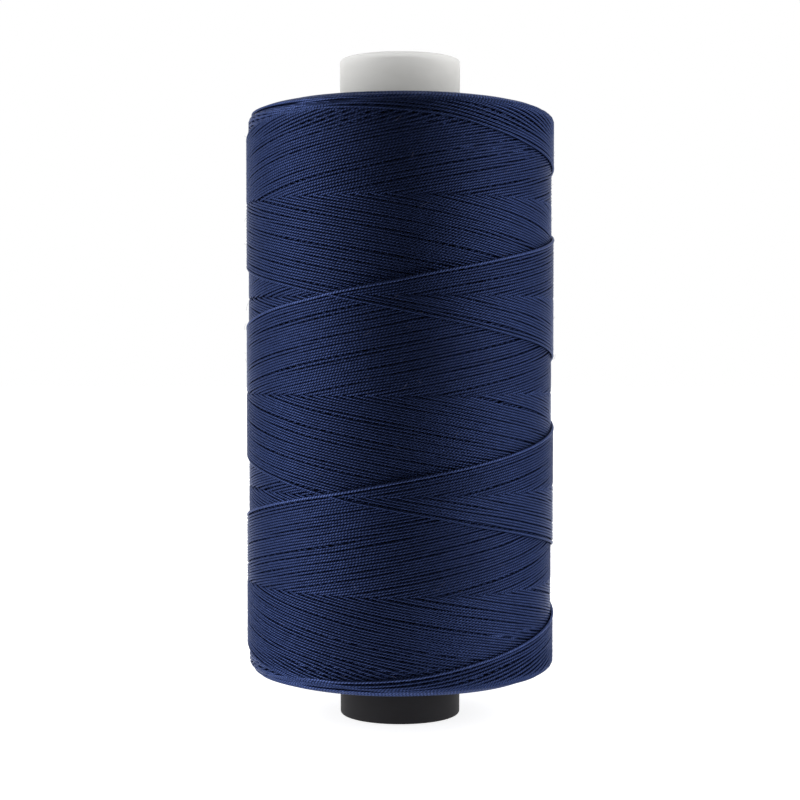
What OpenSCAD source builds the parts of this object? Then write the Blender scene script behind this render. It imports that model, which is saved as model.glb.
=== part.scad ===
// A parallel spool of sewing thread: a straight two-tone core with no flanges, and a
// cross-wound package of thread on it. Millimetres, +Z up the core, origin at the centre of
// the core's lower rim.

/* [Core] */
// Length of the whole core, rim to rim
core_len = 70.4; // [68:0.1:90]
// Outer diameter of the core
core_d = 12.9; // [11.5:0.1:15]
// Diameter of the bore that takes the spool pin
bore_d = 10; // [7:0.1:11]
// Rounding of the outer edge of each rim
rim_r = 0.3; // [0.1:0.05:0.5]
// Chamfer at each mouth of the bore
mouth_chamfer = 0.4; // [0.1:0.05:0.6]

/* [Core base] */
// Height of the dark base, up to the seam under the thread
base_h = 7; // [5:0.5:20]
// Length of the base's spigot inside the tube
spigot_len = 6; // [3:0.5:20]
// Radial clearance of the spigot in the tube
spigot_clear = 0.02; // [0:0.01:0.05]

/* [Thread package] */
// Diameter of the package, over the outer turns
package_d = 33; // [26:0.5:40]
// Length of the package, across both domed ends
package_len = 61.6; // [45:0.1:62]
// Height of the package's lower end above the core's lower rim
package_z = 4; // [3:0.1:5]
// Height of each domed end
dome_h = 2; // [1:0.1:4]
// Diameter of the flat ring round the core, inside each dome
dome_flat_d = 16.6; // [16:0.1:22]
// Radial clearance between the package and the core
package_clear = 0.05; // [0.02:0.01:0.1]

/* [Outer turns] */
// Diameter of the thread
thread_d = 0.28; // [0.15:0.01:0.4]
// Strokes of the thread guide, up and down
stroke_count = 8; // [4:2:8]
// Turns in each stroke, less the share that moves each stroke on round the package
stroke_turns = 3; // [2:1:3]
// Distance of each reversal from the edge of the domed end
reversal_inset = 0.5; // [0.2:0.1:3]
// Gap between rising and falling strokes where they cross
cross_gap = 0.43; // [0.41:0.01:0.8]
// Clearance between the rising strokes and the inner layers
lay_clear = 0.02; // [0.01:0.01:0.1]

/* [Hidden] */
round_fn = 96;         // fragments of everything turned
arc_steps = 6;         // steps of each rim's quarter round
dome_steps = 12;       // steps of each domed end
turn_rings = 24;       // rings of the strand in one turn
strand_sides = 6;      // sides of the strand
gap_samples = 8;       // points a ring step that the least gap is measured on
reversal_rings = 2;    // rings on each side of a reversal that it is rounded over
end_rings = 1;         // rings that the last stroke stops short of, clear of the start

core_r = core_d / 2;
bore_r = bore_d / 2;
lap_r = (core_r + bore_r) / 2;             // the seam halves the wall

ring_step = 360 / turn_rings;
chord = cos(ring_step / 2);                // how far a straight step dips towards the axis
falling_r = (package_d - thread_d) / 2;
rising_r = falling_r - (cross_gap + thread_d) / chord;
inner_r = rising_r * chord - thread_d / 2 - lay_clear;

package_top = package_z + package_len;
low_z = package_z + dome_h + reversal_inset;
high_z = package_top - dome_h - reversal_inset;
stroke_rings = (stroke_turns - 1 / stroke_count) * turn_rings;
last_ring = stroke_count * stroke_rings - end_rings;

// Profile of a rim's outer edge, from the face out to the side, for a rim that faces up
function rim_arc(face_z, side_r) =
    [for (i = [0 : arc_steps]) let (a = 90 * i / arc_steps)
        [side_r - rim_r + rim_r * sin(a), face_z - rim_r + rim_r * cos(a)]];

// Profile of a domed end that faces up, from the flat ring out to the package's side
function dome_arc(top_z) =
    let (flat_r = dome_flat_d / 2)
    [for (i = [0 : dome_steps]) let (a = 90 * i / dome_steps)
        [flat_r + (inner_r - flat_r) * sin(a), top_z - dome_h + dome_h * cos(a)]];

// The same points mirrored about a height, in the order that closes an outline
function flipped(points, about_z) =
    [for (i = [len(points) - 1 : -1 : 0]) [points[i][0], 2 * about_z - points[i][1]]];

module core_tube() {
    color("#e4e3dd")
    rotate_extrude($fn = round_fn)
    polygon(concat(
        [[lap_r + spigot_clear, base_h],
         [lap_r + spigot_clear, base_h + spigot_len],
         [bore_r, base_h + spigot_len],
         [bore_r, core_len - mouth_chamfer],
         [bore_r + mouth_chamfer, core_len]],
        rim_arc(core_len, core_r),
        [[core_r, base_h]]));
}

module core_base() {
    color("#4b4b4d")
    rotate_extrude($fn = round_fn)
    polygon(concat(
        [[bore_r + mouth_chamfer, 0],
         [bore_r, mouth_chamfer],
         [bore_r, base_h + spigot_len],
         [lap_r, base_h + spigot_len],
         [lap_r, base_h],
         [core_r, base_h]],
        flipped(rim_arc(0, core_r), 0)));
}

module thread_package() {
    seat_r = core_r + package_clear;
    color("#1d2c5a")
    rotate_extrude($fn = round_fn)
    polygon(concat(
        [[seat_r, package_z], [seat_r, package_top]],
        dome_arc(package_top),
        flipped(dome_arc(package_top), (package_z + package_top) / 2)));
}

// Rings from ring t to the nearest reversal, below zero before it
function from_reversal(t) = t - stroke_rings * round(t / stroke_rings);

// Height of the strand at ring t: even strokes rise, odd ones fall, reversals are rounded
function strand_z(t) =
    let (slope = (high_z - low_z) / stroke_rings,
         u = abs(from_reversal(t)),
         w = reversal_rings,
         run = u < w ? (u * u + w * w) / (2 * w) : u,
         at_top = round(t / stroke_rings) % 2 == 1)
    at_top ? high_z - slope * run : low_z + slope * run;

// Radius of the strand at ring t: it changes layer over each reversal
function strand_r(t) =
    let (u = from_reversal(t),
         s = max(0, min(1, (u / reversal_rings + 1) / 2)),
         part = s * s * (3 - 2 * s),
         at_top = round(t / stroke_rings) % 2 == 1,
         up = at_top ? part : 1 - part,
         inside = t < reversal_rings ? 0 : t > last_ring - reversal_rings ? 1 : up)
    rising_r + (falling_r - rising_r) * inside;

function polar(r, a, z) = [r * cos(a), r * sin(a), z];

// The strand's route: each end stands square on the inner layers, straight for a diameter or more
route = concat(
    [polar(inner_r, 0, strand_z(0)), polar(rising_r, 0, strand_z(0))],
    [for (t = [1 : last_ring - 1]) polar(strand_r(t), t * ring_step, strand_z(t))],
    [polar(falling_r, last_ring * ring_step, strand_z(last_ring)),
     polar(inner_r, last_ring * ring_step, strand_z(last_ring))]);

function unit(v) = v / norm(v);

// One ring of the strand, mitred where the route bends
function strand_ring(i) =
    let (last = len(route) - 1,
         before = unit(route[max(i, 1)] - route[max(i, 1) - 1]),
         after = unit(route[min(i, last - 1) + 1] - route[min(i, last - 1)]),
         along = unit(before + after),
         mitre = 2 / norm(before + after),
         up = unit([0, 0, 1] - along[2] * along),
         out = cross(along, up))
    [for (j = [0 : strand_sides - 1]) let (a = 360 * j / strand_sides)
        route[i] + thread_d / 2 * (mitre * cos(a) * out + sin(a) * up)];

module outer_turns() {
    rings = len(route);
    points = [for (i = [0 : rings - 1]) each strand_ring(i)];
    walls = [for (i = [0 : rings - 2], j = [0 : strand_sides - 1])
        let (a = i * strand_sides + j,
             b = i * strand_sides + (j + 1) % strand_sides)
        each [[a, b, a + strand_sides], [b, b + strand_sides, a + strand_sides]]];
    start_cap = [for (j = [1 : strand_sides - 2]) [0, j + 1, j]];
    top = (rings - 1) * strand_sides;
    end_cap = [for (j = [1 : strand_sides - 2]) [top, top + j, top + j + 1]];
    color("#26386e")
    polyhedron(points = points, faces = concat(walls, start_cap, end_cap));
}

// A point on the strand's centre line, t counted along the route's own steps
function on_route(t) =
    let (i = min(floor(t), len(route) - 2))
    route[i] + (t - i) * (route[i + 1] - route[i]);

// The least gap is between turns that pass one azimuth, and at each end that stands on the package
steps = len(route) - 1;
step_lengths = [for (i = [0 : steps - 1]) norm(route[i + 1] - route[i])];
turn_gaps = [for (t = [1 : 1 / gap_samples : steps - 1 - turn_rings])
    for (s = [t + turn_rings : turn_rings : steps - 1]) norm(on_route(s) - on_route(t))];
end_gaps = [for (t = [2 * turn_rings / 3 : 1 / gap_samples : steps - 2 * turn_rings / 3])
    for (s = [0 : 1 / gap_samples : 1]) each
        [norm(on_route(t) - on_route(s)), norm(on_route(t) - on_route(steps - s))]];
echo(turns = last_ring / turn_rings, lead = (high_z - low_z) / stroke_rings * turn_rings,
     strand_length = step_lengths * [for (i = step_lengths) 1],
     least_gap = min(concat(turn_gaps, end_gaps)) - thread_d);

core_tube();
core_base();
thread_package();
outer_turns();
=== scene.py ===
import math

import bpy
import numpy as np
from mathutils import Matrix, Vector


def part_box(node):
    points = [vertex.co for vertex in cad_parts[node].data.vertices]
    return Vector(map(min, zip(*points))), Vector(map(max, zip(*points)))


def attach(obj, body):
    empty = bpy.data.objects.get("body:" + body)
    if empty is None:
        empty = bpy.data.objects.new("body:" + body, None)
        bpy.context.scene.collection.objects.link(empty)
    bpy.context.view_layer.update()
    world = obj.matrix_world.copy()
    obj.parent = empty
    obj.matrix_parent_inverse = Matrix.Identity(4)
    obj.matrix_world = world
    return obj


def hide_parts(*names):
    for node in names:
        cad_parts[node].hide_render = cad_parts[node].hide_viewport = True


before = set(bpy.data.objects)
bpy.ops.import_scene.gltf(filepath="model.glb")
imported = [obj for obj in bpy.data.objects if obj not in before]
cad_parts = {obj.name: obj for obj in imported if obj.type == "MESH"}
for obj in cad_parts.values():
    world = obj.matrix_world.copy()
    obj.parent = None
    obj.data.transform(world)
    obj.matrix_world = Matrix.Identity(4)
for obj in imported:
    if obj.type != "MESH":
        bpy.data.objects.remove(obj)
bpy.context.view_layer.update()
scene = bpy.context.scene
mm = 0.001

# The camera stands a little above the middle of the spool and looks down by under two degrees
view = {
    "distance": 187.3 * mm,
    "height": 39.7 * mm,
    "pitchDown": 1.765,  # degrees
    "lens": 78.0,
    "sensor": 36.0,
    "nearest": 0.01,
    "farthest": 10.0,
}
cameraData = bpy.data.cameras.new("camera")
cameraData.lens = view["lens"]
cameraData.sensor_width = view["sensor"]
cameraData.clip_start = view["nearest"]
cameraData.clip_end = view["farthest"]
camera = bpy.data.objects.new("camera", cameraData)
camera.location = (0.0, -view["distance"], view["height"])
camera.rotation_euler = (math.radians(90 - view["pitchDown"]), 0.0, 0.0)
scene.collection.objects.link(camera)
scene.camera = camera
scene.view_settings.view_transform = "Standard"
print("camera placed")


# An sRGB hex colour as linear RGBA
def linearColour(hexText):
    parts = [int(hexText[i : i + 2], 16) / 255 for i in (1, 3, 5)]
    return [part / 12.92 if part <= 0.04045 else ((part + 0.055) / 1.055) ** 2.4
            for part in parts] + [1.0]


# Adds a node; an input that is given a socket is linked to it, any other is set
def addNode(tree, kind, inputs=None, **settings):
    node = tree.nodes.new(kind)
    for name, value in settings.items():
        setattr(node, name, value)
    for key, value in (inputs or {}).items():
        if isinstance(value, bpy.types.NodeSocket):
            tree.links.new(value, node.inputs[key])
        else:
            node.inputs[key].default_value = value
    return node


# Result of an operation on two sockets or numbers
def mathOf(tree, operation, first, second):
    return addNode(tree, "ShaderNodeMath", {0: first, 1: second}, operation=operation).outputs[0]


# Mix of two hex colours, from the first at 0 to the second at 1
def mixOf(tree, factor, first, second):
    mix = addNode(tree, "ShaderNodeMix", {"Factor": factor, 6: linearColour(first),
                  7: linearColour(second)}, data_type="RGBA")
    return mix.outputs[2]


# A value carried from one range to another
def rangeOf(tree, value, before, after):
    spread = addNode(tree, "ShaderNodeMapRange", {"Value": value, "From Min": before[0],
                     "From Max": before[1], "To Min": after[0], "To Max": after[1]})
    return spread.outputs[0]


# 1 for rays that the camera follows, straight, mirrored or let through, and 0 for all others
def cameraRay(tree):
    path = addNode(tree, "ShaderNodeLightPath")
    seen = mathOf(tree, "MAXIMUM", path.outputs["Is Camera Ray"], path.outputs["Is Glossy Ray"])
    return mathOf(tree, "MAXIMUM", seen, path.outputs["Is Transmission Ray"])


# A new material with an empty node tree
def newMaterial(name):
    material = bpy.data.materials.new(name)
    material.use_nodes = True
    material.node_tree.nodes.clear()
    return material, material.node_tree


# Mesh object at the origin, straight from lists of points and edges or faces
def meshObject(name, points, edges=(), faces=()):
    mesh = bpy.data.meshes.new(name)
    mesh.from_pydata(points, edges, faces)
    piece = bpy.data.objects.new(name, mesh)
    scene.collection.objects.link(piece)
    return piece


# Studio: pale floor, two wide side softboxes, soft fill, and black flags that only gloss mirrors
studio = {
    "floorSize": 3.0,
    "floorBelow": 0.05 * mm,  # just clear of the base's own face
    "floorColour": "#e9e8e5",
    "floorGlow": 0.8,  # what the camera sees on top of the lit floor
    "room": 0.64,
    "roomSeen": 1.0,  # the room as the camera sees it
    "boxAzimuths": (-80.0, 80.0),  # degrees from the camera, to the right
    "boxDistance": 0.6,
    "boxWidth": 0.6,
    "boxHeight": 0.6,
    "boxCentre": 0.28,
    "boxRadiance": (2.4, 1.5),
    "flagColour": "#0c0c0c",
    "flagFoot": 1.0 * mm,  # height of the flags' lower edges
    "flagDistance": 0.45,
    "flagWidth": 0.48,
    "flagShift": 0.04,  # to the right
    "apronNear": (0.045, 0.12),  # distance from the spool and width of the flag's foot there
    "canopyHeight": 0.45,
    "canopySize": 1.8,
    "canopyBack": 0.12,  # the canopy is open behind the spool
}

floorMaterial, tree = newMaterial("matt paper floor")
matt = addNode(tree, "ShaderNodeBsdfDiffuse", {"Color": linearColour(studio["floorColour"])})
glow = addNode(tree, "ShaderNodeEmission", {
               "Strength": mathOf(tree, "MULTIPLY", cameraRay(tree), studio["floorGlow"])})
both = addNode(tree, "ShaderNodeAddShader", {0: matt.outputs[0], 1: glow.outputs[0]})
addNode(tree, "ShaderNodeOutputMaterial", {"Surface": both.outputs[0]})

floorHalf = studio["floorSize"] / 2
below = -studio["floorBelow"]
floor = meshObject("floor", [(-floorHalf, -floorHalf, below), (floorHalf, -floorHalf, below),
                             (floorHalf, floorHalf, below), (-floorHalf, floorHalf, below)],
                   faces=[(0, 1, 2, 3)])
floor.data.materials.append(floorMaterial)

flagMaterial, tree = newMaterial("black flag cloth")
matt = addNode(tree, "ShaderNodeBsdfDiffuse", {"Color": linearColour(studio["flagColour"])})
addNode(tree, "ShaderNodeOutputMaterial", {"Surface": matt.outputs[0]})
left = studio["flagShift"] - studio["flagWidth"] / 2
right = studio["flagShift"] + studio["flagWidth"] / 2
front = -studio["flagDistance"]
foot = studio["flagFoot"]
top = studio["canopyHeight"]
side = studio["canopySize"] / 2
back = studio["canopyBack"]
near, nearWidth = studio["apronNear"]
nearShift = studio["flagShift"] * near / studio["flagDistance"]
upright = [(left, front, foot), (right, front, foot), (right, front, top), (left, front, top)]
apron = [(nearShift - nearWidth / 2, -near, foot), (nearShift + nearWidth / 2, -near, foot)]
canopy = [(-side, -side, top), (side, -side, top), (side, back, top), (-side, back, top)]
flags = meshObject("flags", upright + apron + canopy,
                   faces=[(0, 1, 2, 3), (0, 1, 5, 4), (6, 7, 8, 9)])
flags.data.materials.append(flagMaterial)
flags.visible_camera = False
flags.visible_diffuse = False
flags.visible_shadow = False

for name, azimuth, radiance in zip(("left softbox", "right softbox"), studio["boxAzimuths"],
                                   studio["boxRadiance"]):
    lamp = bpy.data.lights.new(name, "AREA")
    lamp.shape = "RECTANGLE"
    lamp.size = studio["boxWidth"]
    lamp.size_y = studio["boxHeight"]
    lamp.energy = radiance * math.pi * lamp.size * lamp.size_y
    box = bpy.data.objects.new(name, lamp)
    angle = math.radians(azimuth)
    box.location = (studio["boxDistance"] * math.sin(angle),
                    -studio["boxDistance"] * math.cos(angle), studio["boxCentre"])
    box.rotation_euler = (math.radians(90), 0.0, angle)
    scene.collection.objects.link(box)

world = bpy.data.worlds.new("room")
world.use_nodes = True
scene.world = world
tree = world.node_tree
tree.nodes.clear()
level = rangeOf(tree, cameraRay(tree), (0.0, 1.0), (studio["room"], studio["roomSeen"]))
air = addNode(tree, "ShaderNodeBackground", {"Color": linearColour("#ffffff"),
              "Strength": level})
addNode(tree, "ShaderNodeOutputWorld", {"Surface": air.outputs[0]})
print("studio lit")

# Core: two plain mouldings, kept as the frame's own solids with better materials
corePlastic = {
    "tube": {"name": "moulded polypropylene, off-white", "colour": "#c5c4bf",
             "shade": "#bcbbb5", "roughness": 0.5, "specular": 0.2, "milky": 1.0},
    # The base's dark grey is painted shade: it stands for the shadow that the package casts on the
    # core's lower end
    "base": {"name": "moulded polypropylene, painted shade", "colour": "#383739",
             "shade": "#323133", "roughness": 0.6, "specular": 0.1, "milky": 0.0},
    "unevenGloss": 0.06,  # roughness more or less from one grain to the next
    "refraction": 1.49,
    "scatter": 30.0,  # how far light spreads inside the milky wall, mm
    "scatterShares": (1.0, 0.97, 0.92),  # of red, green and blue
    "streak": 3.0,  # length of the flow marks round the wall, mm
    "streakThin": 4.0,  # times that they are longer than high
    "grain": 0.12,  # mould grain, drawn coarser than the real 0.03 mm so that it shows
    "grainDepth": 0.006,
    "grainStrength": 0.5,
}


# Moulded plastic gives the eye a soft, even gloss, faint flow marks and a very fine grain
def mouldedPlastic(look):
    material, tree = newMaterial(look["name"])
    where = addNode(tree, "ShaderNodeTexCoord").outputs["Object"]
    stretched = addNode(tree, "ShaderNodeMapping", {"Vector": where,
                        "Scale": (1.0, 1.0, corePlastic["streakThin"])})
    flow = addNode(tree, "ShaderNodeTexNoise", {"Vector": stretched.outputs[0],
                   "Scale": 1 / (corePlastic["streak"] * mm), "Detail": 3.0})
    grain = addNode(tree, "ShaderNodeTexNoise", {"Vector": where,
                    "Scale": 1 / (corePlastic["grain"] * mm), "Detail": 2.0}).outputs["Fac"]
    gloss = rangeOf(tree, grain, (0.0, 1.0), (look["roughness"] - corePlastic["unevenGloss"],
                                              look["roughness"] + corePlastic["unevenGloss"]))
    relief = addNode(tree, "ShaderNodeBump", {"Height": grain,
                     "Distance": corePlastic["grainDepth"] * mm,
                     "Strength": corePlastic["grainStrength"]})
    shader = addNode(tree, "ShaderNodeBsdfPrincipled", {
                     "Base Color": mixOf(tree, flow.outputs["Fac"], look["colour"],
                                         look["shade"]),
                     "Roughness": gloss, "Normal": relief.outputs[0],
                     "IOR": corePlastic["refraction"],
                     "Specular IOR Level": look["specular"],
                     "Subsurface Weight": look["milky"],
                     "Subsurface Radius": corePlastic["scatterShares"],
                     "Subsurface Scale": corePlastic["scatter"] * mm})
    addNode(tree, "ShaderNodeOutputMaterial", {"Surface": shader.outputs[0]})
    return material


for node, look in (("core_tube", "tube"), ("core_base", "base")):
    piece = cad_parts[node]
    material = mouldedPlastic(corePlastic[look])
    for materialSlot in piece.material_slots:
        materialSlot.material = material
print("core finished")

# Winding: one thread, laid up and down in strokes that move on round the package
winding = {
    "threadDiameter": 0.3,  # mm, as are all lengths here
    "radius": 16.67,  # over the last strokes
    "lead": 20.0,  # climb in one turn
    "strokePairs": 65,  # pairs of strokes that cover the package once
    "turnsPerStroke": 3,
    "middle": 34.8,  # height of the package's middle
    "lastPeak": -25.2,  # azimuth of the last reversal at the top, degrees from the front
    "layer": 0.24,  # height that one sheet of strokes adds
    "turnRound": 52.0,  # degrees on each side of a reversal over which it is rounded
    "slip": 1.95,  # how far later strokes push a reversal out over the shoulder
    "uneven": 0.04,  # most that a reversal slips more or less than its neighbours
    "slipStrokes": 6.0,  # pairs of strokes that do most of it
    "slipReach": 60.0,  # degrees on each side of it that slide with it
    "proud": (0.05, 0.09),  # how far the last two strokes, rising and falling, stand out
    "proudest": 20.0,  # where they do so most, degrees to the right of the front
    "apart": 0.07,  # how far they keep off the strands beside them
    "settle": 0.55,  # length over which a strand climbs across another
    "wander": 0.078,  # sideways drift of a strand
    "wanderLength": 14.0,  # over which it drifts
    "fineWander": (0.6, 0.35),  # size and length of a finer drift on it, as shares
    "closest": 0.274,  # spacing of strands that touch
    "pushes": 30,  # rounds in which strands that overlap push each other apart
    "unevenThickness": 0.03,  # as a share
    "unevenRings": 4,  # rings over which the thickness varies
    "full": 1.12,  # thickness of the end of the last stroke, as nothing presses it
    "fullFrom": 180.0,  # where that begins, degrees after the last reversal at the top
    "tuck": 110.0,  # degrees over which each end of the thread dives under the bottom shoulder
    "tuckReach": 3.2,  # how far over the shoulder it ends
    "tuckDepth": 0.85,  # and how deep
    "samples": 16,  # fine samples from one stroke to the next round the package
    "longStep": 1.4,  # from ring to ring where the strand runs on evenly
    "shortStep": 0.45,  # and where it climbs most
    "steep": 0.12,  # climb in one mm that calls for the short step
    "sides": 8,
    "pieces": 4,
    "seed": 11,
}
shoulder = {
    "topEdge": 63.6,  # where the side turns into the end
    "bottomEdge": 6.05,
    "across": 8.2,  # from the side to the flat ring at the core
    "drop": 2.05,
    "coreGap": 6.5,  # radius where the end meets the core
    "steps": 400,  # points that its curve is measured on
}
yarn = {
    "colour": "#3c4b7a",
    # the groove colour is painted shade, the dark that falls between the plies
    "grooveShade": "#060919",
    # painted light: lighter colours for the last stroke and the turns of the ends
    "paintedLightColour": "#4e5f94",
    "paintedLightGroove": "#0c1129",
    "lead": 1.05,  # one turn of the three plies
    "plies": 3,
    "twistWander": 0.3,  # how far the plies drift along the thread, as its twist isn't even
    "twistRings": 15,  # rings over which they do
    "tileLeads": 32,  # leads to one width of the map
    "wrapTiles": 16,  # widths after which the map starts again, so that it stays exact
    "fibre": 3.0,  # flecks of colour in one mm
    "fibreRound": 0.9,  # mm that once round the thread counts as, for the flecks
    "grooveShadeEdge": 0.8,  # square of the way across a ply at which all is groove
    "fleck": (0.5, 1.0),  # least and most of the ply colour against the painted groove shade
    "relief": 0.034,
    "roughness": 0.29,
    "dyedGloss": 0.86,  # share of the light that comes back from inside the fibres, in their colour
    "specular": 0.22,
    "specularTint": (0.46, 0.5, 0.66, 1.0),
    "sheen": 0.02,
    "sheenRoughness": 0.4,
    "sheenTint": (0.5, 0.55, 0.75, 1.0),
}
perDegree = winding["lead"] / 360
stepDegrees = 360 / winding["strokePairs"]
strokeDegrees = 360 * winding["turnsPerStroke"] + stepDegrees / 2
halfSpan = perDegree * strokeDegrees / 2
topLine = winding["middle"] + halfSpan
bottomLine = winding["middle"] - halfSpan
threadRadius = winding["threadDiameter"] / 2


# Dyed mercerised cotton: three glossy plies, a bead each third of a lead, with painted shade in the
# grooves
def dyedCotton(name, dyeAndPaintedLight, grooveShade):
    material, tree = newMaterial(name)
    place = addNode(tree, "ShaderNodeUVMap", uv_map="OFBake").outputs[0]
    parts = addNode(tree, "ShaderNodeSeparateXYZ", {0: place})
    along = mathOf(tree, "MULTIPLY", parts.outputs["X"], yarn["tileLeads"] * yarn["plies"])
    turned = mathOf(tree, "MULTIPLY", parts.outputs["Y"], yarn["plies"])
    phase = mathOf(tree, "FLOORED_MODULO", mathOf(tree, "ADD", turned, along), 1.0)
    offset = rangeOf(tree, phase, (0.0, 1.0), (-1.0, 1.0))
    square = mathOf(tree, "MULTIPLY", offset, offset)
    bead = mathOf(tree, "SUBTRACT", 1.0, square)
    spread = addNode(tree, "ShaderNodeMapping", {"Vector": place,
                     "Scale": (yarn["tileLeads"] * yarn["lead"], yarn["fibreRound"], 1.0)})
    fibre = addNode(tree, "ShaderNodeTexNoise", {"Vector": spread.outputs[0],
                    "Scale": yarn["fibre"], "Detail": 4.0})
    # painted shade: the colour darkens from each ply's crest into the grooves
    onPly = rangeOf(tree, square, (yarn["grooveShadeEdge"], 0.0), (0.0, 1.0))
    fleck = rangeOf(tree, fibre.outputs["Fac"], (0.3, 0.7), yarn["fleck"])
    share = mathOf(tree, "MULTIPLY", onPly, fleck)
    relief = addNode(tree, "ShaderNodeBump", {"Height": bead, "Distance": yarn["relief"] * mm,
                     "Strength": 1.0})
    shader = addNode(tree, "ShaderNodeBsdfPrincipled", {
                     "Base Color": mixOf(tree, share, grooveShade, dyeAndPaintedLight),
                     "Roughness": yarn["roughness"], "Normal": relief.outputs[0],
                     "Metallic": yarn["dyedGloss"], "Specular IOR Level": yarn["specular"],
                     "Specular Tint": yarn["specularTint"], "Sheen Weight": yarn["sheen"],
                     "Sheen Roughness": yarn["sheenRoughness"],
                     "Sheen Tint": yarn["sheenTint"]})
    addNode(tree, "ShaderNodeOutputMaterial", {"Surface": shader.outputs[0]})
    return material


threadMaterial = dyedCotton("mercerised cotton, three-ply, dyed navy", yarn["colour"],
                            yarn["grooveShade"])
# The last stroke and the turns of the ends are drawn lighter: painted light, for the light that
# falls on them where no strands beside or above shade them
paintedLightMaterial = dyedCotton("mercerised cotton, three-ply, painted lighter", yarn["paintedLightColour"],
                           yarn["paintedLightGroove"])

# Geometry Nodes tree that sweeps a round thread along every polyline of a mesh
sweep = bpy.data.node_groups.new("thread along its path", "GeometryNodeTree")
sockets = {}
for label, kind in (("Path", "NodeSocketGeometry"), ("Thread Diameter", "NodeSocketFloat"),
                    ("Sides", "NodeSocketInt"), ("Material", "NodeSocketMaterial")):
    sockets[label] = sweep.interface.new_socket(label, in_out="INPUT", socket_type=kind)
sweep.interface.new_socket("Thread", in_out="OUTPUT", socket_type="NodeSocketGeometry")
given = addNode(sweep, "NodeGroupInput")
halved = mathOf(sweep, "DIVIDE", given.outputs["Thread Diameter"], 2.0)
line = addNode(sweep, "GeometryNodeMeshToCurve", {"Mesh": given.outputs["Path"]})
line = addNode(sweep, "GeometryNodeSetCurveNormal", {"Curve": line.outputs[0]}, mode="Z_UP")
section = addNode(sweep, "GeometryNodeCurvePrimitiveCircle", {
                  "Resolution": given.outputs["Sides"], "Radius": halved})
scale = addNode(sweep, "GeometryNodeInputNamedAttribute", {"Name": "thickness"})
tube = addNode(sweep, "GeometryNodeCurveToMesh", {"Curve": line.outputs[0],
               "Profile Curve": section.outputs["Curve"],
               "Scale": scale.outputs["Attribute"], "Fill Caps": True})
tube = addNode(sweep, "GeometryNodeSetShadeSmooth", {0: tube.outputs[0]})
tube = addNode(sweep, "GeometryNodeRealizeInstances", {0: tube.outputs[0]})
tube = addNode(sweep, "GeometryNodeSetMaterial", {0: tube.outputs[0],
               "Material": given.outputs["Material"]})
addNode(sweep, "NodeGroupOutput", {0: tube.outputs[0]})


# One piece of thread from polylines in mm, each with its run and thickness at every point
def threadPiece(name, strands, material=threadMaterial):
    points = np.concatenate([strand["points"] for strand in strands]) * mm
    counts = [len(strand["points"]) for strand in strands]
    starts = np.cumsum([0] + counts[:-1])
    edges = np.concatenate([
        np.stack([np.arange(start, start + size - 1), np.arange(start + 1, start + size)], 1)
        for start, size in zip(starts, counts)])
    holder = meshObject(name + " path", points.tolist(), edges.tolist())
    for label in ("run", "thickness"):
        values = np.concatenate([strand[label] for strand in strands]).astype(np.float32)
        holder.data.attributes.new(label, "FLOAT", "POINT").data.foreach_set("value", values)
    modifier = holder.modifiers.new("thread", "NODES")
    modifier.node_group = sweep
    modifier[sockets["Thread Diameter"].identifier] = winding["threadDiameter"] * mm
    modifier[sockets["Sides"].identifier] = winding["sides"]
    modifier[sockets["Material"].identifier] = material
    graph = bpy.context.evaluated_depsgraph_get()
    mesh = bpy.data.meshes.new_from_object(holder.evaluated_get(graph))
    holder.modifiers.clear()
    bpy.data.objects.remove(holder)
    mesh.name = name
    mapThread(mesh)
    piece = bpy.data.objects.new(name, mesh)
    scene.collection.objects.link(piece)
    return piece


# Map: across is the run along the thread, up is once round it, with the seam on the inside
def mapThread(mesh):
    sides = winding["sides"]
    run = np.empty(len(mesh.vertices), np.float32)
    mesh.attributes["run"].data.foreach_get("value", run)
    corner = np.empty(len(mesh.loops), np.int32)
    mesh.loops.foreach_get("vertex_index", corner)
    first = np.empty(len(mesh.polygons), np.int32)
    mesh.polygons.foreach_get("loop_start", first)
    side = corner % sides
    lowest = np.minimum.reduceat(side, first)
    highest = np.maximum.reduceat(side, first)
    count = np.diff(np.append(first, len(corner)))
    atSeam = np.repeat((lowest == 0) & (highest == sides - 1) & (count == 4), count)
    turn = np.where(atSeam & (side == 0), sides, side) / sides
    across = run[corner] / (yarn["tileLeads"] * yarn["lead"])
    wrap = yarn["wrapTiles"] * np.floor(np.minimum.reduceat(across, first) / yarn["wrapTiles"])
    uv = np.stack([across - np.repeat(wrap, count), turn], 1)
    mesh.uv_layers.new(name="OFBake").data.foreach_set("uv", uv.astype(np.float32).ravel())
    for label in ("run", "thickness"):
        mesh.attributes.remove(mesh.attributes[label])


# Smooth step from 0 to 1
def eased(share):
    return share * share * (3 - 2 * share)


# Points from radius, azimuth in degrees and height
def placed(radius, azimuth, height):
    angle = np.radians(azimuth)
    return np.stack([radius * np.cos(angle), radius * np.sin(angle), height], 1)


# Length along a polyline at each of its points
def runAlong(points):
    return np.append(0, np.cumsum(np.linalg.norm(np.diff(points, axis=0), axis=1)))


# Smooth random values, rows by count, that vary over a length given in samples
def smoothNoise(random, rows, count, length):
    knots = random.normal(0, 1, (rows, int(count / length) + 4))  # some to spare
    at = np.arange(count) / length + random.uniform(0, 1, (rows, 1))
    knot = at.astype(int)
    weight = eased(at - knot)
    return (np.take_along_axis(knots, knot, 1) * (1 - weight)
            + np.take_along_axis(knots, knot + 1, 1) * weight)


# Averages along the strand with a bell of the given width in samples
def softened(values, width):
    reach = int(width * 3) + 1
    bell = np.exp(-0.5 * (np.arange(-reach, reach + 1) / width) ** 2)
    padded = np.concatenate([np.full(reach, values[0]), values, np.full(reach, values[-1])])
    return np.convolve(padded, bell / bell.sum(), "valid")


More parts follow.
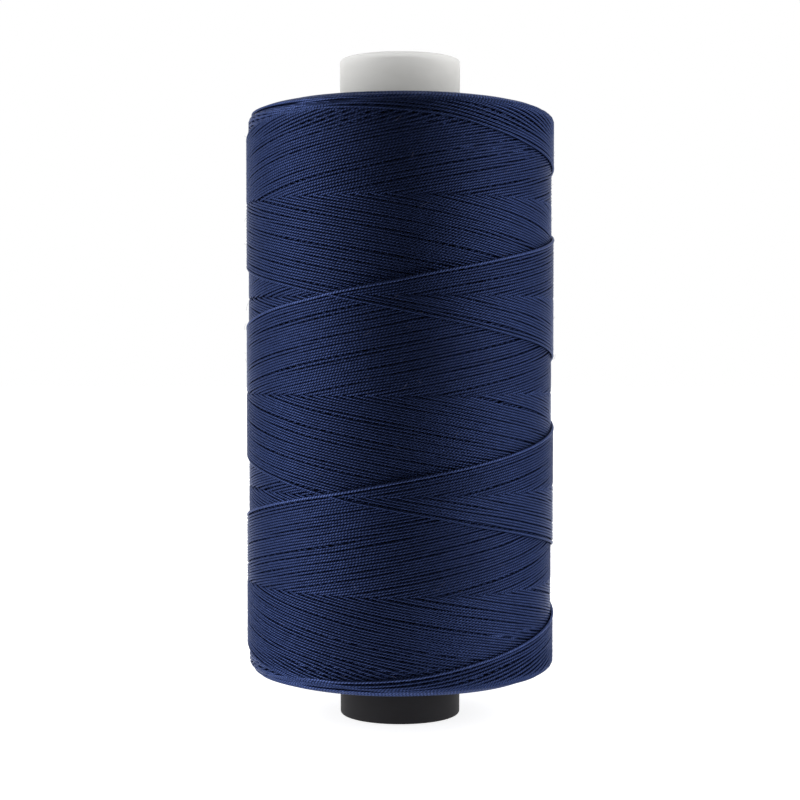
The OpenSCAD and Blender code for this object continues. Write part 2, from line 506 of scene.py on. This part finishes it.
# The curve over a shoulder, as angles and the lengths along it at which they lie
edgeAngles = np.linspace(0, math.pi / 2, shoulder["steps"])
edgeSteps = np.hypot(np.diff(shoulder["across"] * np.cos(edgeAngles)),
                     np.diff(shoulder["drop"] * np.sin(edgeAngles)))
edgeLengths = np.append(0, np.cumsum(edgeSteps))


# Radius and height at a depth under the package's skin; past an edge, the height given is the
# length along the shoulder and the end
def onProfile(height, depth):
    top = height > winding["middle"]
    edge = np.where(top, shoulder["topEdge"], shoulder["bottomEdge"])
    sign = np.where(top, 1.0, -1.0)
    past = sign * (height - edge)
    angle = np.interp(past, edgeLengths, edgeAngles)
    flat = np.clip(past - edgeLengths[-1], 0, None)
    flatRadius = winding["radius"] - shoulder["across"]
    radius = flatRadius + (shoulder["across"] - depth) * np.cos(angle) - flat
    z = edge + sign * (shoulder["drop"] - depth) * np.sin(angle)
    return np.where(past > 0, radius, winding["radius"] - depth), np.where(past > 0, z, height)


random = np.random.default_rng(winding["seed"])
pairs = winding["strokePairs"]
fine = stepDegrees / winding["samples"]  # degrees from one fine sample to the next
count = int(round(strokeDegrees / fine)) + 1
fromTop = np.arange(count) * fine
fromBottom = strokeDegrees - fromTop
clearOfTurns = np.clip(np.minimum(fromTop, fromBottom) / winding["turnRound"], 0, 1)
climbCosine = math.cos(math.atan(perDegree / math.radians(1) / winding["radius"]))
fineStep = math.radians(fine) * winding["radius"] / climbCosine
age = np.arange(pairs + 1)[:, None]  # 0 is the last pair laid

# Later strokes push each reversal out over the shoulder, a little unevenly
slid = winding["slip"] * (1 - np.exp(-age / winding["slipStrokes"]))
slipTop = slid + random.uniform(-winding["uneven"], winding["uneven"], age.shape)
slipBottom = slid + random.uniform(-winding["uneven"], winding["uneven"], age.shape)


# Degrees climbed at a distance from a reversal, which is rounded
def roundedRun(run):
    reach = winding["turnRound"]
    return np.where(run < reach, (run * run + reach * reach) / (2 * reach), run)


# Share of a reversal's slip at a distance from it
def slipped(run):
    return np.clip(1 - (run / winding["slipReach"]) ** 2, 0, 1) ** 2


# Sideways drift of one sheet, in which neighbours that would overlap push each other apart
def drift(shift):
    fineSize, fineLength = winding["fineWander"]
    values = winding["wander"] * (
        smoothNoise(random, pairs, count, winding["wanderLength"] / fineStep)
        + fineSize * smoothNoise(random, pairs, count,
                                 fineLength * winding["wanderLength"] / fineStep))
    pitch = perDegree * stepDegrees
    least = winding["closest"] / climbCosine
    for _ in range(winding["pushes"]):
        other = np.roll(values, -1, 0)
        if shift > 0:  # the next older strand runs above this one
            gap = pitch + other[:, :-shift] - values[:, shift:]
            push = np.clip(least - gap, 0, None) / 2
            other[:, :-shift] += push
            moved = np.roll(other, 1, 0)
            moved[:, shift:] -= push
        else:  # it runs below
            gap = pitch + values[:, :shift] - other[:, -shift:]
            push = np.clip(least - gap, 0, None) / 2
            other[:, -shift:] -= push
            moved = np.roll(other, 1, 0)
            moved[:, :shift] += push
        values = moved
    return values * eased(clearOfTurns)


# Azimuths, heights and depths of one sheet: a row for each stroke, youngest first, top to bottom
def sheet(rising):
    lower = slipBottom[1:] if rising else slipBottom[:pairs]
    height = np.where(fromTop < fromBottom, topLine - perDegree * roundedRun(fromTop),
                      bottomLine + perDegree * roundedRun(fromBottom))
    height = (height + slipTop[:pairs] * slipped(fromTop) - lower * slipped(fromBottom)
              + drift(winding["samples"] if rising else -winding["samples"]))
    turn = fromTop if rising else -fromTop
    azimuth = winding["lastPeak"] - 90 + age[:pairs] * stepDegrees + turn
    # A stroke lies under its own sheet's younger strokes and those of the other that cross it
    halfAge = stepDegrees / 2
    ownAge = (age[:pairs] + 0.5) * stepDegrees
    other = np.mod(age[:pairs] * stepDegrees + 2 * turn + halfAge, 360)
    covered = other < (ownAge + halfAge if rising else ownAge - halfAge)
    depth = threadRadius + winding["layer"] * ((ownAge + other) / 360 + covered)
    height[0] += (-1 if rising else 1) * winding["apart"] * clearOfTurns
    facing = 0.5 + 0.5 * np.cos(np.radians(azimuth[0] + 90 - winding["proudest"]))
    depth[0] -= winding["proud"][0 if rising else 1] * clearOfTurns * facing ** 2
    return azimuth, height, depth


# The strokes in the order they were laid, oldest first: up, then down
risingSheet = sheet(True)
fallingSheet = sheet(False)
azimuth, height, depth = (
    np.concatenate([np.concatenate([up[n][:0:-1], down[n][:-1]])
                    for n in range(pairs - 1, -1, -1)])
    for up, down in zip(risingSheet, fallingSheet))
azimuth = -np.arange(len(azimuth)) * fine + azimuth[0]

# Both ends of the thread are tucked under the turns of the bottom end
share = np.arange(1, int(winding["tuck"] / fine)) * fine / winding["tuck"]
dive = eased(share)
low = shoulder["bottomEdge"] - winding["tuckReach"]
azimuth = np.concatenate([azimuth[0] + winding["tuck"] * share[::-1], azimuth,
                          azimuth[-1] - winding["tuck"] * share])
height, depth = (np.concatenate([values[0] + (goal - values[0]) * dive[::-1], values,
                                 values[-1] + (goal - values[-1]) * dive])
                 for values, goal in ((height, low), (depth, winding["tuckDepth"])))
depth = softened(depth, winding["settle"] / fineStep)

# Rings stand close where the strand climbs over another, and far apart elsewhere
climb = np.clip(np.abs(np.gradient(depth)) / fineStep / winding["steep"], 0, 1)
fewest = 1 / winding["longStep"]
ringsPerMm = fewest + (1 / winding["shortStep"] - fewest) * climb
progress = np.append(0, np.cumsum(ringsPerMm[1:] * fineStep))
picked = np.unique(np.searchsorted(progress, np.arange(0, progress[-1], 1.0)))
radius, z = onProfile(height[picked], depth[picked])
route = placed(radius, azimuth[picked], z)
run = runAlong(route)
twisted = run + yarn["twistWander"] * smoothNoise(random, 1, len(run), yarn["twistRings"])[0]
thickness = 1 + winding["unevenThickness"] * smoothNoise(random, 1, len(run),
                                                         winding["unevenRings"])[0]
lastSamples = count + len(share) - winding["fullFrom"] / fine
lastStroke = int(np.searchsorted(run, run[-1] - lastSamples * fineStep))
thickness[lastStroke:] *= winding["full"]
print("thread laid:", round(run[-1] / 1000, 1), "m in", len(run), "rings")


# A stretch of the thread as a strand for threadPiece
def stretch(first, last):
    part = slice(first, last)
    return {"points": route[part], "run": twisted[part], "thickness": thickness[part]}


threadPieces = []
cuts = np.linspace(0, lastStroke, winding["pieces"] + 1).astype(int)
for k in range(winding["pieces"]):
    threadPieces.append(threadPiece(f"outer_layer_{k + 1}", [stretch(cuts[k], cuts[k + 1] + 1)]))
threadPieces.append(threadPiece("last_stroke", [stretch(lastStroke, None)], paintedLightMaterial))
print("outer layer swept")

# Ends: the reversals of the layers below lie as near-concentric arcs down to the core
ends = {
    "firstArc": -4.5,  # from the edge, along the end; below nought is down the side
    "firstOnEnd": 1.3,
    "spacing": 0.27,
    "arcsPerTurn": 4,
    "arcShift": 0.1,  # most that an arc's middle moves round, as a share of its own part
    "arcReach": (50.0, 75.0),  # degrees on each side of its middle
    "bow": 0.35,  # how much nearer the edge its two ends lie than its middle
    "uneven": 0.1,  # most that an arc lies nearer the edge or the core than its neighbours
    "wander": 0.1,  # sideways drift along it
    "wanderPoints": 6,
    "leastDepth": 0.14,
    "sideDepth": 0.54,  # on the side the arcs lie under the outer layer
    "unevenDepth": 0.12,
    "endDepth": 0.7,  # of the two ends of an arc, which dive under the others
    "divePower": 5,  # how late they dive
    "pointStep": 1.1,
    "sparePoints": 6,
    "twistStart": 30.0,  # most that the map of an arc starts further on
    "seed": 5,
}


def endStrands(top, random):
    sign = 1 if top else -1
    edge = shoulder["topEdge"] if top else shoulder["bottomEdge"]
    length = edgeLengths[-1] + winding["radius"] - shoulder["across"] - shoulder["coreGap"]
    strands = []
    past = ends["firstArc"]
    while past < length - threadRadius:
        start = random.uniform(0, 360)
        for k in range(ends["arcsPerTurn"]):
            reach = random.uniform(*ends["arcReach"])
            moved = k + random.uniform(-ends["arcShift"], ends["arcShift"])
            middle = start + 360 * moved / ends["arcsPerTurn"]
            radius = onProfile(np.array([edge + sign * past]), ends["leastDepth"])[0][0]
            arcLength = 2 * math.radians(reach) * radius
            points = int(arcLength / ends["pointStep"]) + ends["sparePoints"]
            share = np.linspace(-1, 1, points)
            out = past + random.uniform(-ends["uneven"], ends["uneven"]) - (
                ends["bow"] * share * share) + (
                ends["wander"] * smoothNoise(random, 1, points, ends["wanderPoints"])[0])
            least = ends["leastDepth"] if past > ends["firstOnEnd"] else ends["sideDepth"]
            depth = least + random.uniform(0, ends["unevenDepth"]) + (
                ends["endDepth"] - ends["leastDepth"]) * np.abs(share) ** ends["divePower"]
            out = np.minimum(out, length - threadRadius)
            radii, z = onProfile(edge + sign * out, depth)
            line = placed(radii, middle - reach * share, z)
            strands.append({"points": line,
                            "run": runAlong(line) + random.uniform(0, ends["twistStart"]),
                            "thickness": np.ones(points)})
        past += ends["spacing"]
    return strands


random = np.random.default_rng(ends["seed"])
threadPieces.append(threadPiece("end_turns_top", endStrands(True, random), paintedLightMaterial))
threadPieces.append(threadPiece("end_turns_bottom", endStrands(False, random), paintedLightMaterial))
print("ends covered")

# Stray fibres: fine hairs that the spun cotton leaves on the surface
fuzz = {
    "hairs": 170,
    "thickness": 0.018,
    "length": (0.3, 0.9),
    "lean": 1.0,  # most that a hair runs up or down, against its run round the package
    "bow": 0.25,
    "lift": 0.04,  # how far a hair stands off at its free end, on the average
    "rootDepth": 0.1,
    "points": 6,
    "darkest": "#1c2748",
    "palest": "#6a6877",
    "patch": 2.0,  # length over which their colour changes
    "roughness": 0.85,
    "specular": 0.2,
    "seed": 23,
}

# Loose fibre has shed some of its dye, unevenly: it looks paler than the thread, and matt
fibreMaterial, tree = newMaterial("loose cotton fibre")
where = addNode(tree, "ShaderNodeTexCoord").outputs["Object"]
patches = addNode(tree, "ShaderNodeTexNoise", {"Vector": where,
                  "Scale": 1 / (fuzz["patch"] * mm)})
shader = addNode(tree, "ShaderNodeBsdfPrincipled", {
                 "Base Color": mixOf(tree, patches.outputs["Fac"], fuzz["darkest"],
                                     fuzz["palest"]),
                 "Roughness": fuzz["roughness"], "Specular IOR Level": fuzz["specular"]})
addNode(tree, "ShaderNodeOutputMaterial", {"Surface": shader.outputs[0]})


def hairs(random):
    strands = []
    share = np.linspace(0, 1, fuzz["points"])
    thickness = np.full(fuzz["points"], fuzz["thickness"] / winding["threadDiameter"])
    for _ in range(fuzz["hairs"]):
        length = random.uniform(*fuzz["length"])
        lean = random.uniform(-fuzz["lean"], fuzz["lean"])
        bow = random.normal(0, fuzz["bow"], 2)
        lift = random.exponential(fuzz["lift"])
        degrees = math.degrees(length / winding["radius"])
        azimuth = random.uniform(0, 360) + degrees * (share + bow[0] * share * share)
        height = random.uniform(shoulder["bottomEdge"], shoulder["topEdge"]) + length * (
            lean * share + bow[1] * share * share)
        depth = fuzz["rootDepth"] - (lift + fuzz["rootDepth"]) * share * (2 - share)
        radii, z = onProfile(height, depth)
        strands.append({"points": placed(radii, azimuth, z), "run": share * length,
                        "thickness": thickness})
    return strands


random = np.random.default_rng(fuzz["seed"])
threadPieces.append(threadPiece("stray_fibres", hairs(random), fibreMaterial))
print("stray fibres added")

# Inner layers: a closed body under the strands, seen only as the dark between them
inner = {
    "depth": 0.9,
    "shoulderDepth": 0.5,
    "coreClear": 0.05,
    "segments": 128,
    "arcPoints": 13,
    "darkest": "#0a0f22",
    "palest": "#0f1733",
    "bandHeight": 0.6,  # of one dark and one paler turn
    "bandWarp": 0.4,
    "roughness": 0.9,
    "specular": 0.2,
}
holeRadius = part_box("core_tube")[1].x / mm + inner["coreClear"]
lowest = shoulder["bottomEdge"] - shoulder["drop"] + inner["shoulderDepth"]
highest = shoulder["topEdge"] + shoulder["drop"] - inner["shoulderDepth"]
profile = [(holeRadius, lowest)]
for edge, sign in ((shoulder["bottomEdge"], -1), (shoulder["topEdge"], 1)):
    arc = [(winding["radius"] - shoulder["across"]
            + (shoulder["across"] - inner["depth"]) * math.cos(angle),
            edge + sign * (shoulder["drop"] - inner["shoulderDepth"]) * math.sin(angle))
           for angle in np.linspace(0, math.pi / 2, inner["arcPoints"])]
    profile += arc[::sign]
profile.append((holeRadius, highest))
points = []
faces = []
for i in range(inner["segments"]):
    angle = 2 * math.pi * i / inner["segments"]
    points += [(radius * math.cos(angle) * mm, radius * math.sin(angle) * mm, z * mm)
               for radius, z in profile]
    here = i * len(profile)
    there = (i + 1) % inner["segments"] * len(profile)
    for j in range(len(profile)):
        k = (j + 1) % len(profile)
        faces.append((here + j, there + j, there + k, here + k))
innerLayers = meshObject("inner_layers", points, faces=faces)
for face in innerLayers.data.polygons:
    face.use_smooth = True

# Thread in the shade of its own layers: the same cotton, matt and dark, with the lay of the turns
innerMaterial, tree = newMaterial("mercerised cotton, inner layers")
where = addNode(tree, "ShaderNodeTexCoord").outputs["Object"]
waveBand = 0.314  # height of one band of the texture at a scale of 1
turns = addNode(tree, "ShaderNodeTexWave", {"Vector": where,
                "Scale": waveBand / (inner["bandHeight"] * mm),
                "Distortion": inner["bandWarp"]}, bands_direction="Z")
shader = addNode(tree, "ShaderNodeBsdfPrincipled", {
                 "Base Color": mixOf(tree, turns.outputs["Fac"], inner["darkest"],
                                     inner["palest"]),
                 "Roughness": inner["roughness"], "Specular IOR Level": inner["specular"]})
addNode(tree, "ShaderNodeOutputMaterial", {"Surface": shader.outputs[0]})
innerLayers.data.materials.append(innerMaterial)
print("inner layers closed")

for piece in threadPieces + [innerLayers]:
    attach(piece, "root")
    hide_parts("thread_package", "outer_turns")
